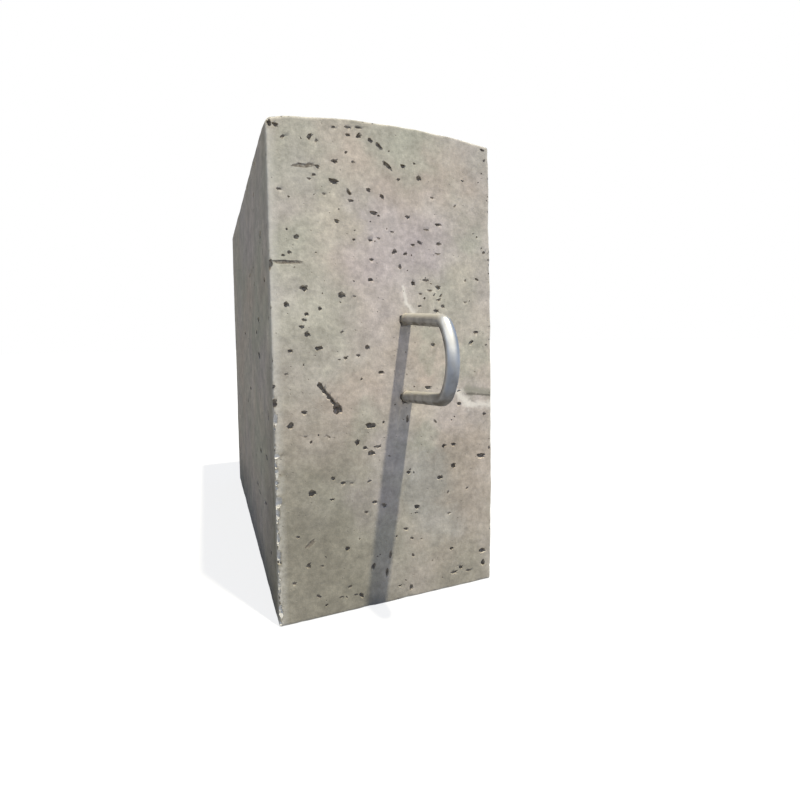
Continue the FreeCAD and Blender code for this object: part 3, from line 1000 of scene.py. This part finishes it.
@dataclass
class LiftingLoop:
    """The loop: one round bar bent to a D, its legs running into the concrete."""

    low: Vector
    high: Vector
    face: float
    finish: DrawnSteel = field(default_factory=DrawnSteel)
    foot_spacing: float = 0.134
    shoulder_spacing: float = 0.116
    shoulder_reach: float = 0.120
    bend_radius: float = 0.022
    leg_embedment: float = 0.160
    ring_gap: float = 0.0025
    ring_sides: int = 36

    @property
    def radius(self) -> float:
        """Radius of the bar."""
        return (self.high.x - self.low.x) / 2

    @property
    def middle(self) -> Vector:
        """Where the loop's level axis meets the face."""
        return Vector(((self.low.x + self.high.x) / 2, self.face, (self.low.z + self.high.z) / 2))

    @property
    def feet(self) -> list[Vector]:
        """Where the legs' centre lines leave the face, the upper one first."""
        rise = Vector((0, 0, self.foot_spacing / 2))
        return [self.middle + rise, self.middle - rise]

    def build(self) -> bpy.types.Object:
        """Make the loop's mesh and dress it.

        Returns:
            The finished piece.
        """
        line = self._centre_line()
        bent = run_tree(line_object("bar_line", line, step=1), self._tree(), {
            "Finish": self.finish.build(self.face),
            "Bar radius": self.radius, "Ring gap": self.ring_gap, "Sides": self.ring_sides,
        })
        bent.shade_smooth()
        bent.set_sharp_from_angle(angle=math.radians(50))
        return new_object("bent_bar_loop", bent)

    def _centre_line(self) -> list[Vector]:
        """Points of the centre line: leg, bend, crown, bend, leg, mirrored about the axis.

        Distances out of the face and up from the loop's axis are worked out first. The bend's
        arc touches the leg and the crown from inside, so its centre lies bend_radius inside
        the leg's line and crown_radius less bend_radius from the crown's centre.
        """
        crown_reach = self.face - self.low.y - self.radius
        foot, shoulder = self.foot_spacing / 2, self.shoulder_spacing / 2
        slope = (shoulder - foot) / self.shoulder_reach
        rise = crown_reach - self.shoulder_reach
        crown_radius = (shoulder**2 + rise**2) / (2 * rise)
        crown_centre = crown_reach - crown_radius
        lean = math.hypot(1, slope)
        level = foot - self.bend_radius * lean
        reach = crown_radius - self.bend_radius
        half_sum = (slope * level - crown_centre) / lean**2
        rest = (crown_centre**2 + level**2 - reach**2) / lean**2
        bend_out = -half_sum + math.sqrt(half_sum**2 - rest)
        bend_up = level + slope * bend_out
        leg_turn = math.pi / 2 + math.atan(slope)
        crown_turn = math.atan2(bend_up, bend_out - crown_centre)
        outline = [(-self.leg_embedment, foot - slope * self.leg_embedment)]
        for turn in np.linspace(leg_turn, crown_turn, 14):
            outline.append((bend_out + self.bend_radius * math.cos(turn),
                            bend_up + self.bend_radius * math.sin(turn)))
        for turn in np.linspace(crown_turn, 0, 12)[1:]:
            outline.append((crown_centre + crown_radius * math.cos(turn),
                            crown_radius * math.sin(turn)))
        outline += [(out, -up) for out, up in reversed(outline[:-1])]
        return [self.middle + Vector((0, -out, up)) for out, up in outline]

    def _tree(self) -> Tree:
        """The tree that sweeps a round section along the centre line."""
        tree, add, given = geometry_tree("swept_bar", {
            "Finish": "Material", "Bar radius": "Float", "Ring gap": "Float", "Sides": "Int"})
        curve = add("MeshToCurve", {"Mesh": given["Geometry"]})
        even = add("ResampleCurve", {"Curve": curve, "Length": given["Ring gap"]}, mode="LENGTH")
        spot = add("SplineParameter").outputs["Length"]
        line = add("StoreNamedAttribute", {"Geometry": even, "Name": "along", "Value": spot},
                   data_type="FLOAT", domain="POINT")
        circle = add("CurvePrimitiveCircle", {
            "Resolution": given["Sides"], "Radius": given["Bar radius"]})
        place = add("InputPosition")
        section = add("StoreNamedAttribute", {"Geometry": circle, "Name": "ring", "Value": place},
                      data_type="FLOAT_VECTOR", domain="POINT")
        swept = add("CurveToMesh", {"Curve": line, "Profile Curve": section, "Fill Caps": True})
        close_tree(add, swept, given["Finish"])
        return tree


# ---------------------------------------------------------------- floor, light and camera


@dataclass
class Studio:
    """Pale floor, a high key lamp that grazes the front face, soft fill, and the camera.

    Angles are in degrees, and the camera's lens is in millimetres.
    """

    key_graze: float = 15.0
    key_tilt: float = 8.8
    key_share: float = 0.460
    key_size: float = 1.6
    key_colour: tuple[float, float, float] = (1.10, 1.03, 0.82)
    dim_colour: Colour = (0.80, 0.97, 1.26, 1.0)
    bright_colour: Colour = (0.90, 1.12, 1.68, 1.0)
    fill_low: float = 0.055
    fill_high: float = 0.61
    bright_side: Vector = field(default_factory=lambda: Vector((0.55, -0.75, 0.10)).normalized())
    floor_albedo: float = 0.29
    gloss_far: Colour = (0.36, 0.45, 0.62, 1.0)
    gloss_near: Colour = (0.20, 0.26, 0.38, 1.0)
    gloss_side: Vector = field(default_factory=lambda: Vector((-0.45, -0.72, 0.52)).normalized())
    eye: Vector = field(default_factory=lambda: Vector((-0.298, -1.0633, 0.4555)))
    aim: tuple[float, float, float] = (87.42, 1.18, -18.86)
    lens: float = 19.16
    shift: tuple[float, float] = (0.0625, -0.05)

    def build(self) -> None:
        """Make the floor, the lights and the camera."""
        self._floor()
        self._key()
        self._world()
        self._camera()

    def _camera(self) -> None:
        """A short lens close to the near left arris, at half the block's height."""
        data = bpy.data.cameras.new("camera")
        data.lens = self.lens
        data.sensor_width = 36.0
        data.shift_x, data.shift_y = self.shift
        data.clip_start = 0.02
        camera = new_object("camera", data)
        camera.location = self.eye
        camera.rotation_euler = Euler([math.radians(a) for a in self.aim])
        bpy.context.scene.camera = camera

    def _key(self) -> None:
        """The key: its share of the front face's level sets its strength."""
        graze, tilt = math.radians(self.key_graze), math.radians(self.key_tilt)
        data = bpy.data.lights.new("key", "SUN")
        data.energy = self.key_share * math.pi / math.sin(graze)
        data.angle = math.radians(self.key_size)
        data.color = self.key_colour
        lamp = new_object("key", data)
        travel = Vector((-math.sin(tilt) * math.cos(graze), math.sin(graze),
                         -math.cos(tilt) * math.cos(graze)))
        lamp.rotation_euler = travel.to_track_quat("-Z", "Y").to_euler()

    def _world(self) -> None:
        """White to the camera; to the object a soft cool fill, brighter from the front right."""
        world = bpy.data.worlds.new("studio")
        add = start_shading(world)
        rays = add("LightPath")
        way = add("TexCoord").outputs["Generated"]
        side = add("VectorMath", [way, self.bright_side], operation="DOT_PRODUCT")
        level = add("MapRange", [side, -0.85, 1.0, self.fill_low, self.fill_high])
        lean = add("MapRange", [side, -0.4, 0.7])
        tone = add("Mix", {
            "Factor": lean, "A": self.dim_colour, "B": self.bright_colour}, data_type="RGBA")
        fill = add("Background", {"Color": tone, "Strength": level})
        turned = add("VectorMath", [way, self.gloss_side], operation="DOT_PRODUCT")
        bright = add("MapRange", [turned, -0.10, 0.78])
        height = add("SeparateXYZ", [way]).outputs["Z"]
        raised = add("MapRange", [height, 0.0, 0.3])
        bright = add("Math", [bright, raised], operation="MULTIPLY")
        sky = add("Mix", {
            "Factor": bright, "A": self.gloss_far, "B": (1.25, 1.25, 1.22, 1.0)},
            data_type="RGBA")
        gloss = add("Background", {"Color": sky, "Strength": 1.0})
        seen = add("Background", {"Color": WHITE, "Strength": 1.0})
        mixed = add("MixShader", [rays.outputs["Is Glossy Ray"], fill, gloss])
        mixed = add("MixShader", [rays.outputs["Is Camera Ray"], mixed, seen])
        add("OutputWorld", {"Surface": mixed})
        bpy.context.scene.world = world

    def _floor(self) -> None:
        """A plain pale floor that keeps the block's shadow."""
        mesh = bpy.data.meshes.new("floor")
        reach = 30.0
        mesh.from_pydata([(-reach, -reach, 0), (reach, -reach, 0), (reach, reach, 0),
                          (-reach, reach, 0)], [], [(0, 1, 2, 3)])
        material = bpy.data.materials.new("pale_floor")
        add = start_shading(material)
        rays = add("LightPath")
        grey = (self.floor_albedo,) * 3 + (1.0,)
        bounce = add("BsdfDiffuse", {"Color": grey})
        white = add("Emission", {"Color": WHITE, "Strength": 1.0})
        matt = add("BsdfDiffuse", {"Color": (0.9, 0.9, 0.9, 1.0)})
        seen = add("MixShader", [0.15, white, matt])
        place = add("TexCoord").outputs["Object"]
        far = add("VectorMath", [place], operation="LENGTH")
        away = add("MapRange", [far, 0.7, 3.0])
        tone = add("Mix", {
            "Factor": away, "A": self.gloss_near, "B": self.gloss_far}, data_type="RGBA")
        mirrored = add("Emission", {"Color": tone, "Strength": 1.0})
        both = add("MixShader", [rays.outputs["Is Glossy Ray"], bounce, mirrored])
        both = add("MixShader", [rays.outputs["Is Camera Ray"], both, seen])
        add("OutputMaterial", {"Surface": both})
        mesh.materials.append(material)
        new_object("floor", mesh)


# ---------------------------------------------------------------- the whole


def seat(piece: bpy.types.Object, node: str) -> None:
    """Tie a finished piece to the body, hide the CAD node it replaces, and log it."""
    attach(piece, "root")
    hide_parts(node)
    piece.data.calc_loop_triangles()
    LOG.info("%s replaces %s: %d triangles", piece.name, node, len(piece.data.loop_triangles))


def main() -> None:
    """Build the block, the loop and the studio round the frame."""
    logging.basicConfig(level=logging.INFO, format="%(name)s: %(message)s")
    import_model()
    bpy.context.scene.view_settings.view_transform = "Standard"
    block_low, block_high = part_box("concrete_block")
    loop = LiftingLoop(*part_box("lifting_loop"), face=block_low.y)
    block = CastBlock(block_low, block_high, loop.feet, loop.radius)
    seat(block.build(), "concrete_block")
    seat(loop.build(), "lifting_loop")
    Studio().build()


if __name__ == "__main__":
    main()
